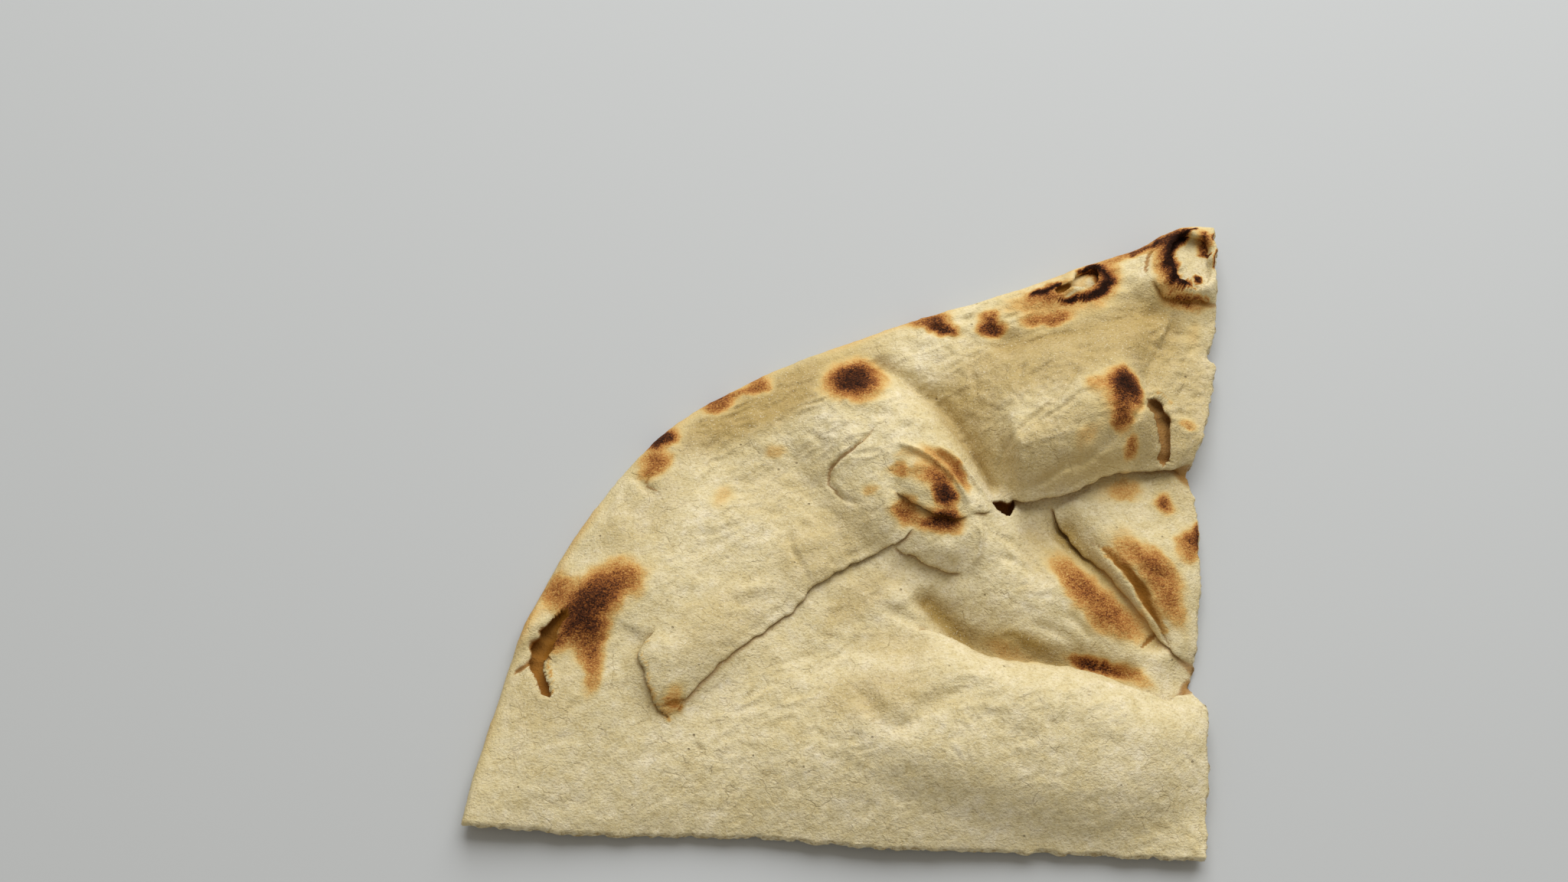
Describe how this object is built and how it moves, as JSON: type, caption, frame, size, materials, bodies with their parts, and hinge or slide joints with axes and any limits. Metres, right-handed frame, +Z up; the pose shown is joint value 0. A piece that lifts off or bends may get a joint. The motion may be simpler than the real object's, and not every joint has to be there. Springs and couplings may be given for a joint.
{
  "type": "tandoori roti quarter",
  "caption": "Hand-cut quarter of a large tandoor-baked flatbread with domed, lapped, scorched blisters; lies flat, blistered side up.",
  "frame": {"origin": "on the table under the middle of the bread's box", "axes": "+Z up from the table to the blistered side, +Y from the front cut towards the round rim, +X towards the right-hand cut"},
  "size_m": [0.1476, 0.1282, 0.0189],
  "materials": {
    "crust": "matt baked dough, cream with brown and black scorched spots"
  },
  "bodies": {
    "root": {"roti": "crust"}
  },
  "joints": []
}
